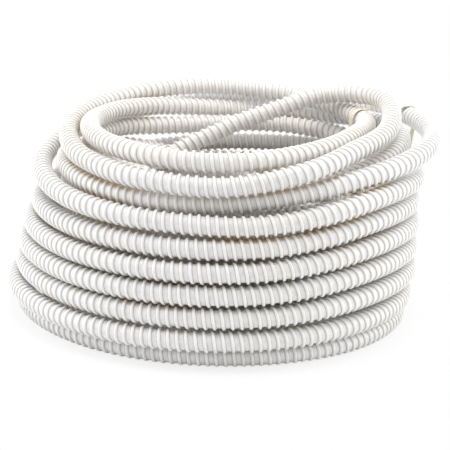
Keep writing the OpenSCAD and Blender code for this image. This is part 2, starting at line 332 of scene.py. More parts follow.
@dataclass(frozen=True)
class VinylFinish:
    """White blown vinyl with a slightly orange-peeled skin, painted shade in its rib valleys and at the
    feet of its ribs, and brown stains and painted shade where the turns touch.
    """

    # painted shade: the valleys are painted greyer than the crests, and blotchy grey in places, for the
    # shade that falls in them
    lit_crest: Colour = rgb(0.865, 0.86, 0.85)
    shaded_valley: Colour = rgb(0.81, 0.805, 0.80)
    valley_shade_cloud: Colour = rgb(0.725, 0.715, 0.725)
    # painted shadow: a dark line along the foot of each rib
    foot_shadow: Colour = rgb(0.42, 0.415, 0.405)
    aged: Colour = rgb(1.0, 0.955, 0.88)
    # brown stain colour, which also stands for painted shade between turns higher up; the grey below it
    # is painted shade between turns low down
    stain: Colour = rgb(0.50, 0.36, 0.22)
    grey_crevice_shade: Colour = rgb(0.58, 0.57, 0.51)
    dust: Colour = rgb(0.55, 0.51, 0.43)
    dust_amount: float = 0.12
    peel_scale: float = 420.0
    peel_depth: float = 0.00012
    peel_strength: float = 0.6
    # where the rib's flank turns from the painted valley shade to the crest, and where the painted
    # shadow line at its foot starts and ends
    valley_shade_flank: Pair = (0.3, 0.9)
    foot_shadow_start: Pair = (0.02, 0.12)
    foot_shadow_end: Numbers = (0.20, 0.50, 1.0, 0.0)
    foot_shadow_share: float = 0.8
    # yellowed inside the first radius and still white outside the second, in metres, and by how much
    core: Numbers = (0.345, 0.405, 0.55, 0.0)
    # how near another turn has to be for the stains and painted shade, and how much of it the crests
    # hold
    grime_and_shade_reach: Pair = (0.34, 0.70)
    grime_and_shade_hold: Numbers = (0.0, 1.0, 1.0, 0.65)
    # grey painted shade low down gives way to brown stains and shade between these heights, in metres
    grey_shade_heights: Numbers = (0.19, 0.27, 1.0, 0.1)
    valley_shade_blotches: Blotches = Blotches(62.0, 4.0, 0.40, 0.66, 0.0, 0.85)
    batches: Blotches = Blotches(3.0, 3.0, 0.40, 0.75, 0.0, 0.30)
    grime_and_shade_patches: Blotches = Blotches(6.0, 4.0, 0.38, 0.62, 0.10, 0.90)
    grey_shade_patches: Blotches = Blotches(4.0, 2.0, 0.30, 0.52)
    gloss: Blotches = Blotches(60.0, 3.0, 0.3, 0.7, 0.23, 0.35)

    def build(self) -> Material:
        """Builds the material.

        Returns:
            The vinyl material.
        """
        material, nodes, place = start_material("white_vinyl")
        rib = nodes.add("ShaderNodeAttribute", attribute_name="rib").outputs["Fac"]
        tuck = nodes.add("ShaderNodeAttribute", attribute_name="tuck").outputs["Fac"]
        clean = self.aged_wall(nodes, place, self.ribbed_wall(nodes, place, rib))
        colour = dusty(nodes, self.stained_and_shaded(nodes, place, clean, rib, tuck), self.dust, self.dust_amount)
        peel = nodes.noise(place, self.peel_scale)
        nodes.principled(
            Base_Color=colour, Roughness=self.gloss.mask(nodes, place), IOR=1.5,
            Normal=nodes.bump(peel, self.peel_depth, self.peel_strength),
        )
        return material

    def ribbed_wall(self, nodes: Nodes, place: Socket, rib: Socket) -> Socket:
        """Colours the rib: painted shade in the valleys, blotchy in places, a painted shadow line at the
        foot of each rib, and lighter crests.

        Args:
            nodes: the material's builder.
            place: the place on the hose.
            rib: the rib's height, from 0 to 1.

        Returns:
            The colour's socket.
        """
        # painted shade in the valleys, giving way to the lighter crests up the flanks
        shaded_valley = nodes.mix(self.valley_shade_blotches.mask(nodes, place), self.shaded_valley, self.valley_shade_cloud)
        wall = nodes.mix(nodes.ramp(rib, *self.valley_shade_flank), shaded_valley, self.lit_crest)
        # painted shadow line at the rib's foot
        foot_shadow = nodes.math("MULTIPLY", nodes.ramp(rib, *self.foot_shadow_start), nodes.ramp(rib, *self.foot_shadow_end))
        return nodes.mix(nodes.math("MULTIPLY", foot_shadow, self.foot_shadow_share), wall, self.foot_shadow)

    def aged_wall(self, nodes: Nodes, place: Socket, wall: Socket) -> Socket:
        """Yellows the turns in the core, and blotches of the others a little.

        Args:
            nodes: the material's builder.
            place: the place on the hose.
            wall: the colour of new vinyl.

        Returns:
            The colour's socket.
        """
        flat = nodes.add("ShaderNodeVectorMath", operation="MULTIPLY")
        nodes.link(place, flat.inputs[0])
        flat.inputs[1].default_value = (1.0, 1.0, 0.0)
        out = nodes.add("ShaderNodeVectorMath", operation="LENGTH")
        nodes.link(flat.outputs["Vector"], out.inputs[0])
        inside = nodes.ramp(out.outputs["Value"], *self.core)
        share = nodes.math("MAXIMUM", inside, self.batches.mask(nodes, place))
        return nodes.mix(share, wall, self.aged, "MULTIPLY")

    def stained_and_shaded(self, nodes: Nodes, place: Socket, clean: Socket, rib: Socket, tuck: Socket) -> Socket:
        """Lays brown stains and painted shade where turns touch and behind other turns, grey low down
        and brown higher up.

        Args:
            nodes: the material's builder.
            place: the place on the hose.
            clean: the colour without the stains and crevice shade.
            rib: the rib's height, from 0 to 1.
            tuck: how near another turn is, from 0 to 1.

        Returns:
            The colour's socket.
        """
        # painted shade and stains: darker where another turn is near or in front
        near = nodes.ramp(tuck, *self.grime_and_shade_reach)
        grime_and_shade = nodes.math("MULTIPLY", near, self.grime_and_shade_patches.mask(nodes, place))
        grime_and_shade = nodes.math("MULTIPLY", grime_and_shade, nodes.ramp(rib, *self.grime_and_shade_hold))
        low = nodes.ramp(nodes.parts(place)["Z"], *self.grey_shade_heights)
        tone = nodes.math("MULTIPLY", self.grey_shade_patches.mask(nodes, place), low)
        return nodes.mix(grime_and_shade, clean, nodes.mix(tone, self.stain, self.grey_crevice_shade))


@dataclass(frozen=True)
class MouldedFinish:
    """Moulded plastic with a fine sparked texture."""

    name: str
    colour: Colour
    worn: Colour
    gloss: Blotches = Blotches(90.0, 3.0, 0.3, 0.7, 0.36, 0.52)
    grain_scale: float = 1400.0
    grain_depth: float = 0.00004
    grain_strength: float = 0.7
    wear: Blotches = Blotches(38.0, 4.0, 0.4, 0.75)
    dust: Colour = rgb(0.45, 0.42, 0.36)
    dust_amount: float = 0.25

    def build(self) -> Material:
        """Builds the material.

        Returns:
            The moulded plastic material.
        """
        material, nodes, place = start_material(self.name)
        plain = nodes.mix(self.wear.mask(nodes, place), self.colour, self.worn)
        grain = nodes.noise(place, self.grain_scale, 1.0)
        nodes.principled(
            Base_Color=dusty(nodes, plain, self.dust, self.dust_amount),
            Roughness=self.gloss.mask(nodes, place),
            Normal=nodes.bump(grain, self.grain_depth, self.grain_strength),
        )
        return material


@dataclass(frozen=True)
class StrapFinish:
    """Cream polypropylene strapping with a diamond emboss, its hollows painted darker and its peaks
    paler as shade and light.
    """

    cream: Colour = rgb(0.80, 0.73, 0.56)
    lit_emboss_peak: Colour = rgb(0.88, 0.83, 0.70)
    stain: Colour = rgb(0.72, 0.62, 0.44)
    stains: Blotches = Blotches(30.0, 3.0, 0.45, 0.8, 0.0, 0.4)
    pitch: float = 0.0021
    depth: float = 0.00015
    strength: float = 0.8
    height_range: Pair = (-0.6, 0.8)
    roughness: float = 0.38

    def build(self) -> Material:
        """Builds the material.

        Returns:
            The strapping material.
        """
        material, nodes, place = start_material("cream_strap")
        spot = nodes.parts(place)
        waves = []
        for kind in ("ADD", "SUBTRACT"):
            slant = nodes.math(kind, spot["Z"], spot["Y"])
            waves.append(nodes.math("SINE", nodes.math("MULTIPLY", slant, 2 * math.pi / self.pitch)))
        emboss = nodes.math("MULTIPLY", *waves)
        # painted shade and light: the emboss's hollows stay cream and its peaks are painted paler
        shade = nodes.mix(nodes.ramp(emboss, *self.height_range), self.cream, self.lit_emboss_peak)
        nodes.principled(
            Base_Color=nodes.mix(self.stains.mask(nodes, place), shade, self.stain),
            Roughness=self.roughness,
            Normal=nodes.bump(emboss, self.depth, self.strength),
        )
        return material


@dataclass(frozen=True)
class SteelFinish:
    """Thin galvanised steel."""

    bright: Colour = rgb(0.62, 0.63, 0.65)
    dull: Colour = rgb(0.42, 0.43, 0.45)
    spangle_scale: float = 420.0
    spangle_range: Pair = (0.2, 0.8)
    gloss: Blotches = Blotches(200.0, 2.0, 0.3, 0.7, 0.28, 0.46)

    def build(self) -> Material:
        """Builds the material.

        Returns:
            The steel material.
        """
        material, nodes, place = start_material("clip_steel")
        cells = nodes.set(nodes.add("ShaderNodeTexVoronoi"), Vector=place, Scale=self.spangle_scale)
        spangle = nodes.ramp(cells.outputs["Distance"], *self.spangle_range)
        nodes.principled(
            Base_Color=nodes.mix(spangle, self.bright, self.dull),
            Roughness=self.gloss.mask(nodes, place),
            Metallic=1.0,
        )
        return material


def mesh_piece(
    name: str, points: np.ndarray, faces: np.ndarray, material: Material
) -> bpy.types.Object:
    """Makes a smooth mesh object from arrays.

    Args:
        name: the piece's name.
        points: the vertices, in metres.
        faces: four vertex numbers a face, with the last one repeated where it is a triangle.
        material: its only material.

    Returns:
        The new object, linked to the scene.
    """
    mesh = bpy.data.meshes.new(name)
    sides = np.where(faces[:, 2] == faces[:, 3], 3, 4)
    starts = np.concatenate([[0], np.cumsum(sides)[:-1]])
    keep = np.ones(faces.shape, dtype=bool)
    keep[:, 3] = sides == 4
    corners = faces[keep]
    mesh.vertices.add(len(points))
    mesh.vertices.foreach_set("co", points.astype(np.float32).ravel())
    mesh.loops.add(len(corners))
    mesh.loops.foreach_set("vertex_index", corners.astype(np.int32))
    mesh.polygons.add(len(faces))
    mesh.polygons.foreach_set("loop_start", starts.astype(np.int32))
    mesh.polygons.foreach_set("use_smooth", np.ones(len(faces), dtype=bool))
    mesh.update(calc_edges=True)
    mesh.materials.append(material)
    piece = bpy.data.objects.new(name, mesh)
    bpy.context.scene.collection.objects.link(piece)
    return piece


def ring_faces(rings: int, columns: int) -> np.ndarray:
    """Gives the faces of a skin of closed rings, whose last ring meets the first one.

    Args:
        rings: how many rings there are.
        columns: how many points each ring has.

    Returns:
        One row of faces for each ring, as four point numbers each.
    """
    number = np.arange(rings * columns).reshape(rings, columns)
    right, ahead = np.roll(number, -1, axis=1), np.roll(number, -1, axis=0)
    return np.stack([number, right, np.roll(right, -1, axis=0), ahead], axis=-1)


def settle(piece: bpy.types.Object, body: Body, node: str) -> None:
    """Puts a piece on the body that carries it, and hides the CAD node that it stands for.

    Args:
        piece: the piece.
        body: the body that carries it.
        node: the CAD node that it replaces.
    """
    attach(piece, body.value)
    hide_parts(node)
    LOG.info("%s: %d faces, for %s", piece.name, len(piece.data.polygons), node)


def eased(share: np.ndarray) -> np.ndarray:
    """Smooths a share between 0 and 1 at both of its ends."""
    return share * share * (3 - 2 * share)


@dataclass
class Route:
    """The hose's centre line, in mm and degrees, with the drum's axis at x = y = 0."""

    hose_radius: float = 22.0
    # from row to row, and from the floor to the lowest one
    row: float = 44.8
    foot_height: float = 17.6
    # where the winding comes down to the floor, and where it leaves it
    landing: float = 190.0
    leaving: float = 345.0
    # how uneven each climb is, and where it is steepest
    outer_climb: Pair = (0.85, 90.0)
    inner_climb: Pair = (0.95, 150.0)
    # the inner winding's radius at the floor, and how fast it narrows above it
    inner_radius: float = 378.0
    inner_taper: float = 0.1
    # where the outer winding starts and the inner one ends, how close the places on them are, and how
    # many points the line has from place to place
    outer_start: int = -1890
    inner_end: int = 2314
    angle_step: int = 15
    spline_steps: int = 24
    # the outer winding's radius, and both windings' lean to the right, by height
    outer_heights: Numbers = (18, 62, 107, 151, 196, 240, 285)
    outer_radii: Numbers = (436, 436, 430, 427, 422, 411, 405)
    outer_lean: Numbers = (-31, -29, -15, -13, -7, 0, 16)
    inner_heights: Numbers = (18, 62, 107, 151, 196, 240)
    inner_lean: Numbers = (-26, -22, -13, -9, -4, 0)
    # how far the lowest turn has gone over to the inner winding, by angle
    crossing: Rows = (
        (130, 0), (160, 0.15), (190, 0.35), (220, 0.48), (250, 0.52), (280, 0.5), (300, 0.42),
        (320, 0.28), (345, 0.2), (360, 0.27), (375, 0.42), (390, 0.54), (405, 0.65), (420, 0.76),
        (435, 0.86), (450, 0.93), (465, 0.98), (480, 1),
    )
    # how much the outer rows rise at the right, and the share of it by direction
    rise_heights: Numbers = (18, 53, 98, 143, 188, 233, 278)
    outer_rise: Numbers = (0, 8, 20, 28, 34, 39, 47)
    rise_share: Rows = (
        (0, 0.92), (15, 0.9), (30, 0.84), (45, 0.75), (60, 0.66), (75, 0.6), (90, 0.56), (105, 0.5),
        (120, 0.4), (135, 0.28), (150, 0.16), (165, 0.06), (180, 0), (255, 0), (270, 0.06),
        (285, 0.22), (300, 0.55), (315, 0.88), (330, 1), (345, 0.98), (360, 0.92),
    )
    # the first end in the core, as x, y and height
    start_places: Rows = (
        (-176, -9, 26), (-176, -57, 26), (-176, -106, 26), (-162, -176, 22), (-122, -236, 17.6),
        (-62, -276, 17.6), (9, -290, 17.6),
    )
    # up out of the core and round to the top row, as angle, radius and height
    upper_turns: Rows = (
        (288, 290, 17.6), (312, 297, 26), (340, 298, 53), (365, 294, 92), (390, 291, 136),
        (415, 291, 180), (440, 293, 220), (460, 295, 251), (477, 301, 275), (491, 317, 296),
        (504, 339, 307), (516, 356, 312), (530, 361, 321), (545, 356, 327), (562, 361, 326),
        (582, 368, 320), (606, 365, 314), (630, 356, 318), (650, 365, 335), (668, 387, 355),
        (686, 414, 376), (704, 436, 391), (722, 451, 400), (742, 462, 406), (762, 462, 408),
        (785, 447, 404), (810, 429, 392), (836, 414, 374), (862, 409, 354), (885, 409, 332),
        (908, 409, 312), (935, 409, 295), (962, 406, 287),
    )
    # the loose turns on top, as angle, radius and height
    top_turns: Rows = (
        (180, 348, 275), (210, 334, 277), (240, 326, 277), (270, 323, 277), (300, 334, 283),
        (325, 356, 294), (345, 370, 306), (365, 370, 319), (385, 370, 330), (405, 367, 344),
        (425, 358, 349), (445, 334, 348), (465, 321, 343), (482, 326, 344), (498, 332, 350),
        (513, 326, 352), (528, 312, 353), (545, 301, 353), (565, 299, 352), (590, 301, 345),
        (610, 306, 334), (630, 310, 326), (655, 317, 330), (680, 334, 350), (700, 356, 367),
        (716, 376, 378), (732, 396, 387), (750, 407, 387), (768, 408, 380), (782, 404, 370),
        (800, 387, 372), (822, 361, 379), (842, 339, 390), (862, 320, 396), (882, 306, 398),
        (902, 304, 401), (922, 310, 400), (942, 326, 400), (962, 345, 400), (982, 356, 400),
        (1000, 350, 403), (1018, 323, 407), (1036, 301, 411), (1055, 290, 414), (1075, 295, 411),
        (1092, 317, 405), (1106, 343, 403), (1120, 363, 405), (1135, 374, 414), (1150, 378, 422),
        (1170, 381, 427), (1186, 383, 427), (1203, 378, 420), (1221, 370, 409), (1240, 358, 400),
        (1258, 351, 389), (1276, 352, 378), (1296, 364, 368), (1322, 378, 360), (1350, 384, 359),
        (1375, 380, 386), (1398, 352, 409), (1418, 350, 420), (1432, 354, 431),
    )
    # across the opening, and then down into the core to the last end, as x, y and height
    crossing_places: Rows = (
        (361, 40, 444), (357, 104, 452), (333, 164, 454), (285, 208, 450), (228, 227, 442),
        (188, 226, 434), (146, 218, 419),
    )
    end_places: Rows = (
        (104, 210, 404), (62, 202, 389), (20, 194, 374), (-25, 183, 353), (-110, 156, 315),
        (-194, 114, 273), (-250, 44, 229), (-270, -44, 185), (-252, -124, 145), (-202, -190, 108),
        (-129, -228, 78), (-47, -231, 55), (29, -200, 40), (85, -139, 31), (110, -60, 29),
        (110, -20, 29), (110, 20, 29),
    )

    def ramp(self, angle: float, climb: Pair) -> float:
        """Gives the rows climbed by an angle.

        Args:
            angle: the angle round the drum, in degrees.
            climb: how uneven the climb is, and the angle where it is steepest.

        Returns:
            The number of rows.
        """
        return angle / 360 + climb[0] / (2 * math.pi) * math.sin(math.radians(angle - climb[1]))

    def winding_place(self, angle: float) -> tuple[float, float, float]:
        """Gives a place on the wound part, which goes down the outside and up the inside.

        Args:
            angle: the angle along the winding, in degrees.

        Returns:
            The place.
        """
        down = self.ramp(self.landing, self.outer_climb) - self.ramp(angle, self.outer_climb)
        up = self.ramp(angle, self.inner_climb) - self.ramp(self.leaving, self.inner_climb)
        z = self.foot_height + self.row * max(0.0, down) + self.row * max(0.0, up)
        turn = np.array([math.cos(math.radians(angle)), math.sin(math.radians(angle))])
        outer = np.interp(z, self.outer_heights, self.outer_radii) * turn
        outer[0] += np.interp(z, self.outer_heights, self.outer_lean)
        inner = (self.inner_radius - self.inner_taper * z) * turn
        inner[0] += np.interp(z, self.inner_heights, self.inner_lean)
        share = np.interp(angle, *zip(*self.crossing))
        rise = np.interp(z, self.rise_heights, self.outer_rise)
        rise *= np.interp(angle % 360, *zip(*self.rise_share))
        x, y = outer * (1 - share) + inner * share
        return (x, y, z + rise * (1 - share))

    def places(self) -> tuple[np.ndarray, int]:
        """Gives the places of the whole route.

        Returns:
            The places, and how many of them come before the last stretch.
        """

        def polar(spots: Rows) -> list[Numbers]:
            """Turns angles, radii and heights into places."""
            return [
                (r * math.cos(math.radians(a)), r * math.sin(math.radians(a)), z) for a, r, z in spots
            ]

        angles = range(self.outer_start, self.inner_end + 1, self.angle_step)
        coil = (
            list(self.start_places) + polar(self.upper_turns)
            + [self.winding_place(a) for a in angles]
            + polar(self.top_turns) + list(self.crossing_places)
        )
        return np.array(coil + list(self.end_places), dtype=float), len(coil)

    def line(self) -> tuple[np.ndarray, int]:
        """Lays a centripetal spline through the places.

        Returns:
            Close points on the line, and the number of the point where the last stretch starts.
        """
        p, seam = self.places()
        p = np.vstack([2 * p[0] - p[1], p, 2 * p[-1] - p[-2]])
        gaps = np.sqrt(np.linalg.norm(np.diff(p, axis=0), axis=1))
        t1, t2, t3 = gaps[:-2], gaps[:-2] + gaps[1:-1], gaps[:-2] + gaps[1:-1] + gaps[2:]
        share = np.arange(self.spline_steps) / self.spline_steps
        t = (t1[:, None] * (1 - share) + t2[:, None] * share)[..., None]
        t1, t2, t3 = (x[:, None, None] for x in (t1, t2, t3))
        p0, p1, p2, p3 = (p[k: len(p) - 3 + k, None, :] for k in range(4))

        def blend(a: np.ndarray, b: np.ndarray, ta: np.ndarray, tb: np.ndarray) -> np.ndarray:
            """Blends two points by their times."""
            return (a * (tb - t) + b * (t - ta)) / (tb - ta)

        a, b, c = blend(p0, p1, 0 * t1, t1), blend(p1, p2, t1, t2), blend(p2, p3, t2, t3)
        spots = blend(blend(a, b, 0 * t1, t2), blend(b, c, t1, t3), t1, t2)
        return np.vstack([spots.reshape(-1, 3), p[-2:-1]]), seam * self.spline_steps


@dataclass
class HoseSkin:
    """The ribbed wall of the hose, as one helical rib from end to end, in pieces that join."""

    route: Route
    middle: np.ndarray
    pitch: float = 17.5
    columns: int = 24
    # share of a pitch and radius of each ring of points of the rib, from its crest
    profile: Rows = (
        (0.0, 22.0), (0.07, 21.9), (0.13, 21.35), (0.175, 20.1), (0.215, 18.8), (0.28, 18.15),
        (0.50, 18.0), (0.72, 18.15), (0.785, 18.8), (0.825, 20.1), (0.87, 21.35), (0.93, 21.9),
    )
    coil_pieces: int = 12
    # the band on the floor: its direction and thickness, where its inner end is, and from where to
    # where beside it the hose comes down to the floor
    band_angle: float = 25.0
    band_lift: float = 1.2
    band_inner: float = 312.0
    band_fade: Pair = (16.0, 90.0)
    # how gently the skin bends into its flat foot
    foot_softness: float = 1.2
    path_step: float = 12.0
    # how far along the line another turn starts, how far off one still counts, how near a turn leaves
    # stains and painted shade, and the radius of the skin that this is measured from
    own_reach: float = 150.0
    turn_reach: float = 90.0
    tuck_reach: float = 18.0
    tuck_radius: float = 20.0
    # turns below this height are wound, and one is behind another that lies between these distances
    # further out, and less than this much higher or lower
    wound_height: float = 262.0
    cover_reach: Pair = (35.0, 80.0)
    cover_level: float = 36.0

    def __post_init__(self) -> None:
        """Measures the line."""
        self.line, seam = self.route.line()
        steps = np.linalg.norm(np.diff(self.line, axis=0), axis=1)
        self.marks = np.concatenate([[0.0], np.cumsum(steps)])
        self.length = float(self.marks[-1])
        self.seam = float(self.marks[seam])
        slope = np.gradient(self.line, self.marks, axis=0)
        self.slope = slope / np.linalg.norm(slope, axis=1)[:, None]
        self.tucks = self.measure_tucks()

    def measure_tucks(self, neighbours: int = 56, spacing: float = 7.0) -> np.ndarray:
        """Measures how near each spot of the skin is to another turn, which sets where stains and
        painted shade go.

        Args:
            neighbours: how many places of other turns are looked at for each pitch.
            spacing: how far apart those places are.

        Returns:
            A value for each pitch and column, from 0 where the skin is free to 1 where it touches.
        """
        pitches = math.ceil(self.length / self.pitch) + 1
        own = np.minimum(np.arange(pitches) * self.pitch, self.length)
        other = np.arange(0.0, self.length, spacing)
        spots = self.at(other, self.line)
        centres = self.at(own, self.line)
        angle = 2 * math.pi * np.arange(self.columns) / self.columns
        tucks = np.zeros((pitches, self.columns))
        for k in range(pitches):
            off = np.linalg.norm(spots - centres[k], axis=1)
            off[np.abs(other - own[k]) < self.own_reach] = np.inf
            close = np.argpartition(off, neighbours)[:neighbours]
            close = close[off[close] < self.turn_reach]
            if not len(close):
                continue
            s = np.minimum(own[k] + np.arange(self.columns) * self.pitch / self.columns, self.length)
            skin = self.ring(s, angle, np.full(self.columns, self.tuck_radius))
            near = np.linalg.norm(skin[:, None] - spots[close][None], axis=2).min(axis=1)
            clear = np.maximum(near - self.route.hose_radius, 0.0)
            tucks[k] = np.clip(1 - clear / self.tuck_reach, 0, 1)
            # the outward side of a turn behind others counts as touched, so that the painted shade
            # reaches it too
            reach = np.linalg.norm(spots[close][:, :2], axis=1) - np.linalg.norm(centres[k, :2])
            level = np.abs(spots[close][:, 2] - centres[k, 2])
            least, most = self.cover_reach
            covers = (reach > least) & (reach < most) & (level < self.cover_level)
            if centres[k, 2] < self.wound_height and np.any(covers):
                out = np.linalg.norm(skin[:, :2], axis=1) - np.linalg.norm(centres[k, :2])
                tucks[k] = np.maximum(tucks[k], np.clip(out / self.tuck_radius, 0, 1))
        return tucks

    def at(self, s: np.ndarray, values: np.ndarray) -> np.ndarray:
        """Reads points or headings at distances along the line.

        Args:
            s: distances along the line.
            values: the array to read.

        Returns:
            One row for each distance.
        """
        return np.stack([np.interp(s, self.marks, values[:, k]) for k in range(3)], axis=-1)

    def floor(self, centre: np.ndarray) -> np.ndarray:
        """Gives the height of what lies under the hose: the floor, or the band on it.

        Args:
            centre: places on the centre line.

        Returns:
            The heights.
        """
        turn = math.radians(self.band_angle)
        off = np.abs(-math.sin(turn) * centre[..., 0] + math.cos(turn) * centre[..., 1])
        out = math.cos(turn) * centre[..., 0] + math.sin(turn) * centre[..., 1]
        near, far = self.band_fade
        share = eased(1 - np.clip((off - near) / (far - near), 0, 1))
        return np.where(out > self.band_inner, share * self.band_lift, 0.0)

    def ring(self, s: np.ndarray, angle: np.ndarray, radius: np.ndarray) -> np.ndarray:
        """Gives points on the skin, pressed flat where the hose stands.

        Args:
            s: distances along the line.
            angle: angles round the hose, in radians.
            radius: distances from the centre line.

        Returns:
            The points, in mm.
        """
        centre, along = self.at(s, self.line), self.at(s, self.slope)
        along /= np.linalg.norm(along, axis=-1)[..., None]
        side = np.cross([0.0, 0.0, 1.0], along)
        side /= np.linalg.norm(side, axis=-1)[..., None]
        up = np.cross(along, side)
        reach = np.cos(angle)[..., None] * side + np.sin(angle)[..., None] * up
        points = centre + radius[..., None] * reach
        over = points[..., 2] - self.floor(centre)
        soft = 0.5 * (over + np.sqrt(over * over + self.foot_softness**2))
        points[..., 2] += soft - over
        return points

    def skin(self, first: int, last: int) -> tuple[np.ndarray, np.ndarray, np.ndarray, np.ndarray]:
        """Gives the ribbed skin between two pitches.

        Args:
            first: the first pitch.
            last: the pitch after the last one.

        Returns:
            Points, faces, the rib's height and the tuck at each point, both from 0 to 1, and the map
            places of the faces' corners.
        """
        rows, columns = len(self.profile), self.columns
        shares = np.array([p[0] for p in self.profile])
        radii = np.array([p[1] for p in self.profile])
        count = (last - first) * rows + rows + 1
        i = np.arange(count)
        k, p = first + i // rows, i % rows
        j = np.arange(columns)
        s = (k + shares[p])[:, None] * self.pitch + j[None, :] * self.pitch / columns
        angle = np.broadcast_to(2 * math.pi * j / columns, s.shape)
        radius = np.broadcast_to(radii[p][:, None], s.shape)
        points = self.ring(np.clip(s, 0, self.length), angle, radius)
        number = np.arange(s.size).reshape(s.shape)
        # the column after the last is the first one, a whole pitch further on
        beyond = number[rows:, :1]
        body = (last - first) * rows
        wide = np.hstack([number[: body + 1], beyond[: body + 1]])
        faces = np.stack([wide[:-1, :-1], wide[1:, :-1], wide[1:, 1:], wide[:-1, 1:]], axis=-1)
        low, high = radii.min(), radii.max()
        rib = (radius - low) / (high - low)
        low_k = np.minimum(k, len(self.tucks) - 2)
        tuck = self.tucks[low_k] * (1 - shares[p])[:, None] + self.tucks[low_k + 1] * shares[p][:, None]
        places = self.strips(body, columns)
        faces = faces[..., ::-1].reshape(-1, 4)
        places = places[..., ::-1, :].reshape(-1, 2)
        return points.reshape(-1, 3), faces, np.stack([rib.ravel(), tuck.ravel()]), places

    def strips(self, body: int, columns: int, margin: float = 0.004) -> np.ndarray:
        """Lays the skin out for texture maps, as side by side strips of its length.

        Args:
            body: the number of rows of faces.
            columns: the number of columns of faces.
            margin: the space round each strip.

        Returns:
            The map places of every face's four corners.
        """
        pitches = body / len(self.profile)
        around = 2 * math.pi * self.route.hose_radius
        strips = max(1, round(math.sqrt(pitches * self.pitch / around)))
        rows = math.ceil(body / strips)
        i = np.arange(body)[:, None, None]
        j = np.arange(columns)[None, :, None]
        di, dj = np.array([0, 1, 1, 0]), np.array([0, 0, 1, 1])
        strip = i // rows
        across = (j + dj) / columns * (1 - 2 * margin * strips) + margin * strips
        u = (strip + across) / strips
        v = (i - strip * rows + di) / rows * (1 - 2 * margin) + margin
        return np.stack(np.broadcast_arrays(u, v), axis=-1)

    def build(self, vinyl: Material) -> None:
        """Args:
            vinyl: the wall's material.
        """
        seam = round(self.seam / self.pitch)
        last = math.floor(self.length / self.pitch) - 1
        cuts = [round(x) for x in np.linspace(0, seam, self.coil_pieces + 1)] + [last]
        for number, (a, b) in enumerate(zip(cuts, cuts[1:])):
            in_coil = number < self.coil_pieces
            name = f"hose_turns_{number + 1:02d}" if in_coil else "hose_inner_end"
            points, faces, marks, places = self.skin(a, b)
            used = np.unique(faces)
            renumber = np.full(len(points), -1)
            renumber[used] = np.arange(len(used))
            piece = mesh_piece(name, (points[used] - self.middle) * MM, renumber[faces], vinyl)
            for label, values in zip(("rib", "tuck"), marks):
                attribute = piece.data.attributes.new(label, "FLOAT", "POINT")
                attribute.data.foreach_set("value", values[used].astype(np.float32))
            uv = piece.data.uv_layers.new(name=BAKE_MAP)
            uv.uv.foreach_set("vector", places.astype(np.float32).ravel())
            node = "hose_coil" if in_coil else "hose_end"
            self.declare(piece, a * self.pitch, (b + 1) * self.pitch, node)

    def declare(self, piece: bpy.types.Object, start: float, end: float, node: str) -> None:
        """Args:
            piece: the stretch.
            start: where it starts along the line, in mm.
            end: where it ends.
            node: the CAD node that it stands for.
        """
        end = min(end, self.length)
        s = np.append(np.arange(start, end, self.path_step), end)
        path = (self.at(s, self.line) - self.middle) * MM
        settle(piece, Body.HOSE, node)
        LOG.info("%s: %.2f m of hose", piece.name, (end - start) * MM)


def filleted(
    outline: Outline, radius: float, steps: int = 4, most: float = 0.35, guard: float = 1.35,
    straight: float = 0.999,
) -> np.ndarray:
    """Rounds the corners of a closed outline, with a point just before and after each of them.

    Args:
        outline: the corners, as places along the axis and radii.
        radius: the fillet's radius, which is less where the sides are short.
        steps: how many runs each fillet has.
        most: the largest share of a side that a fillet takes.
        guard: how far off those two points are, in lengths of the fillet.
        straight: how straight a corner has to be to stay as it is, where 1 is no corner at all.

    Returns:
        The rounded outline.
    """
    corners = np.array(outline, dtype=float)
    spots: list[np.ndarray] = []
    for before, corner, after in zip(np.roll(corners, 1, axis=0), corners, np.roll(corners, -1, axis=0)):
        back, ahead = before - corner, after - corner
        reach = min(radius, most * np.linalg.norm(back), most * np.linalg.norm(ahead))
        back, ahead = back / np.linalg.norm(back), ahead / np.linalg.norm(ahead)
        if np.dot(back, ahead) < -straight:
            spots.append(corner)
            continue
        first, last = corner + reach * back, corner + reach * ahead
        spots.append(corner + guard * reach * back)
        for t in np.linspace(0, 1, steps + 1):
            spots.append((1 - t) ** 2 * first + 2 * t * (1 - t) * corner + t * t * last)
        spots.append(corner + guard * reach * ahead)
    return np.array(spots)


@dataclass(frozen=True)
class Flutes:
    """Shallow grooves along the outside of a turned piece, which fade out at both ends."""

    count: int
    depth: float
    half_width: float
    start: float
    end: float
    fade: float = 4.0
    # how far below the largest radius a point still belongs to the outside
    outside: float = 1.0

    def depths(self, along: np.ndarray, turn: np.ndarray, radius: np.ndarray) -> np.ndarray:
        """Gives how deep the flutes are at each point of a piece.

        Args:
            along: places along the axis.
            turn: angles round the axis.
            radius: the radii without flutes.

        Returns:
            The depths.
        """
        outer = radius.max()
        step = 2 * math.pi / self.count
        off = (np.mod(turn, step) - step / 2) * outer
        across = np.clip(1 - (off / self.half_width) ** 2, 0, 1)
        run = np.clip((along - self.start) / self.fade, 0, 1)
        run = run * np.clip((self.end - along) / self.fade, 0, 1)
        return self.depth * across[None, :] * eased(run) * (radius > outer - self.outside)


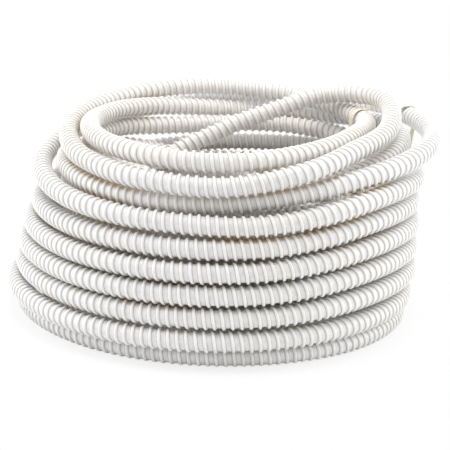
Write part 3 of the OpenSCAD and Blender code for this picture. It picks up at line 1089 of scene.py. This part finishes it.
@dataclass
class Turned:
    """A piece turned round the axis of a cuff, which leaves the hose's end along +Y."""

    name: str
    node: str
    body: Body
    slot: Slot
    outline: Outline
    fillet: float = 0.5
    columns: int = 96
    flutes: Flutes | None = None

    def build(self, end: np.ndarray, material: Material) -> None:
        """Builds the piece.

        Args:
            end: the middle of the hose's end face, in mm.
            material: the piece's material.
        """
        rings = filleted(self.outline, self.fillet)
        turn = 2 * math.pi * np.arange(self.columns) / self.columns
        along = np.broadcast_to(rings[:, :1], (len(rings), self.columns))
        radius = np.repeat(rings[:, 1:], self.columns, axis=1)
        if self.flutes:
            radius = radius - self.flutes.depths(along, turn, radius)
        points = np.stack([radius * np.cos(turn), along, -radius * np.sin(turn)], axis=-1) + end
        faces = ring_faces(*radius.shape).reshape(-1, 4)
        piece = mesh_piece(self.name, points.reshape(-1, 3) * MM, faces, material)
        settle(piece, self.body, self.node)


def sleeve(start: float, end: float, inner: float, outer: float) -> Outline:
    """Gives the outline of a plain sleeve between two places and two radii."""
    return [(start, outer), (end, outer), (end, inner), (start, inner)]


@dataclass
class Cuffs:
    """The fixed cuff on the first end, and the collar, ring, seal and turning cuff on the last.

    Sizes are in mm, and places along a cuff start at the hose's end face.
    """

    first_end: np.ndarray
    last_end: np.ndarray
    socket_depth: float = 40.0
    socket_radius: float = 22.4
    sleeve_radius: float = 26.0
    mouth_radius: float = 19.1
    lead_in: float = 1.5
    fixed_length: float = 66.0
    grip_rings: int = 5
    grip_depth: float = 1.0
    collar_step: float = 6.0
    collar_end: float = 24.6
    collar_bore: float = 17.0
    journal_radius: float = 23.0
    # where the flange starts and ends, and its radius
    flange: Numbers = (16.3, 20.3, 25.5)
    # where the turning cuff starts, steps in and ends, and the radii of its outside and its rear bore
    shell_stations: Numbers = (8.0, 27.6, 112.6)
    shell_radius: float = 29.0
    shell_bore: float = 25.8
    # the first, the last and the number of the places in each row that the flutes need
    shell_stops: Rows = ((31.0, 41.0, 9), (60.0, 70.0, 2), (91.0, 101.0, 9))
    flutes: Flutes = Flutes(count=16, depth=1.2, half_width=2.9, start=33.6, end=98.6)
    flute_columns: int = 256
    ring_end: float = 16.0
    ring_bore: float = 23.3
    seal_end: float = 27.3
    seal_radii: Pair = (17.3, 22.7)
    white: MouldedFinish = MouldedFinish("cuff_white", rgb(0.80, 0.80, 0.78), rgb(0.70, 0.69, 0.65))
    grey: MouldedFinish = MouldedFinish("cuff_grey", rgb(0.25, 0.27, 0.30), rgb(0.33, 0.35, 0.37))
    rubber: MouldedFinish = MouldedFinish(
        "seal_rubber", rgb(0.03, 0.03, 0.03), rgb(0.05, 0.05, 0.05),
        Blotches(90.0, 3.0, 0.3, 0.7, 0.54, 0.70),
    )

    def fixed_outline(self) -> Outline:
        """Gives the fixed cuff's outline: its socket, its grip rings and its mouth."""
        mouth, high = self.fixed_length, self.sleeve_radius
        step, low = mouth / (self.grip_rings + 2), high - self.grip_depth
        outline = [(-self.socket_depth, high), (0.0, high), (0.0, low)]
        for k in range(1, self.grip_rings + 1):
            start, end = k * step, (k + 0.5) * step
            outline += [(start, low), (start, high), (end, high), (end, low)]
        outline += [(mouth - step / 2, low), (mouth - step / 2, high), (mouth, high)]
        return outline + self.mouth(mouth, 0.0) + self.socket()

    def mouth(self, end: float, start: float) -> Outline:
        """Gives the inside of a mouth, from its lead-in back to where it starts."""
        bore = self.mouth_radius
        return [(end, bore + self.lead_in), (end - self.lead_in, bore), (start, bore)]

    def socket(self) -> Outline:
        """Gives the inside of a socket that the hose's end sits in."""
        return [(0.0, self.socket_radius), (-self.socket_depth, self.socket_radius)]

    def collar_outline(self) -> Outline:
        """Gives the collar's outline: its socket, its journal and its flange."""
        start, end, flange = self.flange
        high, low = self.sleeve_radius, self.journal_radius
        outline = [(-self.socket_depth, high), (self.collar_step, high), (self.collar_step, low)]
        outline += [(start, low), (start, flange), (end, flange), (end, low), (self.collar_end, low)]
        return outline + [(self.collar_end, self.collar_bore), (0.0, self.collar_bore)] + self.socket()

    def shell_outline(self) -> Outline:
        """Gives the turning cuff's outline, with rows of places at the ends of its flutes."""
        start, step, end = self.shell_stations
        outline = [(start, self.shell_radius)]
        for stops in self.shell_stops:
            outline += [(float(z), self.shell_radius) for z in np.linspace(*stops)]
        outline.append((end, self.shell_radius))
        return outline + self.mouth(end, step) + [(step, self.shell_bore), (start, self.shell_bore)]

    def build(self) -> None:
        """Builds all pieces of both cuffs."""
        white, grey, rubber = self.white.build(), self.grey.build(), self.rubber.build()
        ring = sleeve(self.shell_stations[0], self.ring_end, self.ring_bore, self.shell_bore)
        seal = sleeve(self.collar_end, self.seal_end, *self.seal_radii)
        for finish, piece in (
            (white, Turned(
                "fixed_cuff_sleeve", "fixed_cuff", Body.HOSE, Slot.CUFF_WHITE, self.fixed_outline(), 0.8
            )),
            (white, Turned(
                "swivel_collar_body", "swivel_collar", Body.HOSE, Slot.CUFF_WHITE, self.collar_outline()
            )),
            (grey, Turned(
                "swivel_cuff_shell", "swivel_cuff", Body.SWIVEL, Slot.CUFF_GREY, self.shell_outline(),
                1.0, self.flute_columns, self.flutes,
            )),
            (white, Turned(
                "swivel_ring", "swivel_retaining_ring", Body.SWIVEL, Slot.CUFF_WHITE, ring
            )),
            (rubber, Turned("swivel_face_seal", "swivel_seal", Body.HOSE, Slot.SEAL, seal, 0.9)),
        ):
            piece.build(self.first_end if piece.node == "fixed_cuff" else self.last_end, finish)


@dataclass
class BandClip:
    """The steel seal on the band: a folded strip, lapped on its outer face and crimped at its edges."""

    length: float = 30.0
    half_width: float = 9.6
    half_depth: float = 2.0
    # half the slot's width and depth
    slot: Pair = (8.1, 0.5)
    # how round the corners of the outside and of the slot are, from 1 for an oval to 0 for square
    roundness: Pair = (0.28, 0.12)
    # where the lap starts across the clip, and how much it adds
    lap: Pair = (1.5, 0.5)
    crimps: Pair = (-7.5, 7.5)
    crimp_depth: float = 0.9
    crimp_width: float = 1.8
    sides: int = 72
    rings: int = 61
    # the slot has a ring at every so many of the outside's
    slot_step: int = 4

    def section(self) -> tuple[np.ndarray, np.ndarray]:
        """Gives the outer and the inner outline across the clip.

        Returns:
            Places across the width and depth, for the outside and for the slot.
        """
        angle = np.linspace(0, 2 * math.pi, self.sides, endpoint=False)
        cos, sin = np.cos(angle), np.sin(angle)

        def squared(width: float, depth: float, power: float) -> np.ndarray:
            """Gives a rectangle with round corners."""
            across = width * np.sign(cos) * np.abs(cos) ** power
            return np.stack([across, depth * np.sign(sin) * np.abs(sin) ** power], -1)

        outer = squared(self.half_width, self.half_depth, self.roundness[0])
        lapped = (outer[:, 0] > self.lap[0]) & (outer[:, 1] > 0)
        outer[lapped, 1] += self.lap[1] * np.clip(outer[lapped, 1] / self.half_depth, 0, 1)
        return outer, squared(*self.slot, self.roundness[1])

    def build(self, node: str, material: Material) -> None:
        """Builds the clip where the CAD's own clip lies.

        Args:
            node: the CAD's clip.
            material: the steel.
        """
        solid = next(o for o in bpy.data.objects if o.get("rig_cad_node") == node)
        corners = np.array([solid.matrix_world @ v.co for v in solid.data.vertices])
        middle = (corners.max(axis=0) + corners.min(axis=0)) / 2
        axes = np.linalg.svd(corners - corners.mean(axis=0), full_matrices=False)[2]
        long, wide = axes[0], axes[1]
        deep = np.cross(long, wide)
        if np.dot(deep[:2], middle[:2]) < 0:
            wide, deep = -wide, -deep
        outer, inner = self.section()
        stations = np.linspace(-self.length / 2, self.length / 2, self.rings)
        rings = []
        for z in stations:
            pinch = sum(math.exp(-(((z - c) / self.crimp_width) ** 2)) for c in self.crimps)
            ring = outer.copy()
            edge = np.clip((np.abs(ring[:, 0]) - self.slot[0]) / (self.half_width - self.slot[0]), 0, 1)
            ring[:, 0] -= np.sign(ring[:, 0]) * self.crimp_depth * pinch * edge
            rings.append((z, ring))
        path = [(stations[0], inner)] + rings + [(z, inner) for z in stations[::-self.slot_step]]
        points = np.array([[z * long + u * wide + v * deep for u, v in ring] for z, ring in path])
        # the last ring lies on the first one, so no faces join the two
        faces = ring_faces(*points.shape[:2])[:-1].reshape(-1, 4)
        piece = mesh_piece("band_clip_seal", points.reshape(-1, 3) * MM + middle, faces, material)
        settle(piece, Body.HOSE, node)


@dataclass(frozen=True)
class Softbox:
    """A wide rectangular lamp, with its place and size in metres and its power in watts."""

    name: str
    place: Numbers
    size: Pair
    power: float

    def hang(self, target: Numbers) -> None:
        """Hangs the lamp so that it faces a place."""
        data = bpy.data.lights.new(self.name, "AREA")
        data.shape, data.energy = "RECTANGLE", self.power
        data.size, data.size_y = self.size
        lamp = bpy.data.objects.new(self.name, data)
        lamp.location = self.place
        towards = Vector(target) - Vector(self.place)
        lamp.rotation_euler = towards.to_track_quat("-Z", "Y").to_euler()
        bpy.context.scene.collection.objects.link(lamp)


@dataclass
class Studio:
    """Camera, floor, lamps and background."""

    # the camera stands off a place on the drum's axis and aims a little below it, in mm and degrees
    target: Numbers = (0.0, 0.0, 198.0)
    aim_height: float = 176.5
    distance: float = 2904.0
    elevation: float = 15.13
    roll: float = 2.15
    lens: float = 103.12
    sensor: float = 36.0
    clip_end: float = 50.0
    boxes: tuple[Softbox, ...] = (
        Softbox("left_box", (-2.0, -0.1, 0.9), (2.2, 1.8), 21.0),
        Softbox("right_box", (2.0, -0.1, 0.9), (2.2, 1.8), 21.0),
        Softbox("top_box", (0.0, -0.2, 2.5), (2.2, 1.8), 31.0),
        Softbox("back_fill", (0.0, 2.8, 1.4), (2.4, 1.6), 16.0),
    )
    lamp_target: Numbers = (0.0, 0.0, 0.22)
    ambient: float = 0.69
    floor_half: float = 9.0
    floor_grey: float = 0.9
    # the floor turns white between these distances, from this share to all of it
    floor_glow: Numbers = (0.40, 0.60, 0.72, 1.0)

    def camera(self, middle: np.ndarray) -> None:
        """Places the camera.

        Args:
            middle: the middle of the drum's own box, from its axis.
        """
        tilt, roll = math.radians(self.elevation), math.radians(self.roll)
        back = np.array([0.0, -math.cos(tilt), math.sin(tilt)])
        place = np.array(self.target) + self.distance * back
        forward = np.array([*self.target[:2], self.aim_height]) - place
        forward /= np.linalg.norm(forward)
        right = np.cross(forward, [0.0, 0.0, 1.0])
        right /= np.linalg.norm(right)
        up = np.cross(right, forward)
        across = right * math.cos(roll) + up * math.sin(roll)
        above = up * math.cos(roll) - right * math.sin(roll)
        data = bpy.data.cameras.new("camera")
        data.lens, data.sensor_width = self.lens, self.sensor
        data.clip_end = self.clip_end
        camera = bpy.data.objects.new("camera", data)
        bpy.context.scene.collection.objects.link(camera)
        turn = Matrix((across, above, -forward)).transposed().to_4x4()
        camera.matrix_world = Matrix.Translation(Vector((place - middle) * MM)) @ turn
        bpy.context.scene.camera = camera

    def lamps(self) -> None:
        """Hangs the softboxes, which all face the hose."""
        for box in self.boxes:
            box.hang(self.lamp_target)

    def world(self) -> None:
        """Sets a white background, and a lower grey light from all round."""
        world = bpy.data.worlds.new("studio")
        world.use_nodes = True
        bpy.context.scene.world = world
        nodes = Nodes(world.node_tree)
        path = nodes.add("ShaderNodeLightPath")
        seen = nodes.math("MAXIMUM", path.outputs["Is Camera Ray"], path.outputs["Is Glossy Ray"])
        seen = nodes.math("MAXIMUM", seen, path.outputs["Is Transmission Ray"])
        lift = nodes.math("MULTIPLY", seen, 1 - self.ambient)
        strength = nodes.math("ADD", lift, self.ambient)
        shader = nodes.add("ShaderNodeBackground")
        nodes.set(shader, Color=rgb(1.0, 1.0, 1.0), Strength=strength)
        nodes.link(shader.outputs[0], nodes.add("ShaderNodeOutputWorld").inputs["Surface"])

    def floor(self) -> None:
        """Lays a pale floor that turns into the white background away from the hose."""
        mesh = bpy.data.meshes.new("floor")
        half = self.floor_half
        mesh.from_pydata(
            [(-half, -half, 0), (half, -half, 0), (half, half, 0), (-half, half, 0)], [], [(0, 1, 2, 3)]
        )
        floor = bpy.data.objects.new("floor", mesh)
        bpy.context.scene.collection.objects.link(floor)
        material, nodes, place = start_material("floor")
        away = nodes.add("ShaderNodeVectorMath", operation="LENGTH")
        nodes.link(place, away.inputs[0])
        share = nodes.ramp(away.outputs["Value"], *self.floor_glow)
        path = nodes.add("ShaderNodeLightPath")
        white = nodes.math("MULTIPLY", share, path.outputs["Is Camera Ray"])
        paint = nodes.add("ShaderNodeBsdfDiffuse")
        nodes.set(paint, Color=rgb(*[self.floor_grey] * 3))
        glow = nodes.add("ShaderNodeEmission")
        nodes.set(glow, Color=rgb(1.0, 1.0, 1.0), Strength=1.0)
        blend = nodes.add("ShaderNodeMixShader")
        nodes.link(white, blend.inputs[0])
        nodes.link(paint.outputs[0], blend.inputs[1])
        nodes.link(glow.outputs[0], blend.inputs[2])
        nodes.link(blend.outputs[0], nodes.add("ShaderNodeOutputMaterial").inputs["Surface"])
        mesh.materials.append(material)


def drum_middle(route: Route, socket_depth: float) -> np.ndarray:
    """Works out where the CAD's own middle lies from the drum's axis.

    Args:
        route: the hose's route.
        socket_depth: how far the fixed cuff reaches back over the hose.

    Returns:
        The middle, in mm.
    """
    low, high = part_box("fixed_cuff")
    x = route.start_places[0][0] - (low[0] + high[0]) / 2 / MM
    y = route.start_places[0][1] - socket_depth - low[1] / MM
    return np.array([x, y, 0.0])


def dress(node: str, material: Material) -> None:
    """Gives a CAD node a finish.

    Args:
        node: the node's name.
        material: its material.
    """
    for piece in bpy.data.objects:
        if piece.get("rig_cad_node") == node:
            piece.data.materials.clear()
            piece.data.materials.append(material)
            LOG.info("%s: dressed", node)


def main() -> None:
    """Builds the scene."""
    logging.basicConfig(level=logging.INFO, format="%(message)s")
    scene = bpy.context.scene
    scene.view_settings.view_transform = "Standard"
    route = Route()
    middle = drum_middle(route, Cuffs.socket_depth)
    studio = Studio()
    studio.camera(middle)
    HoseSkin(route, middle).build(VinylFinish().build())
    studio.world()
    studio.lamps()
    studio.floor()
    first_end, last_end = np.array(route.start_places[0]), np.array(route.end_places[-1])
    Cuffs(first_end - middle, last_end - middle).build()
    dress("tie_band", StrapFinish().build())
    BandClip().build("band_clip", SteelFinish().build())


if __name__ == "__main__":
    main()
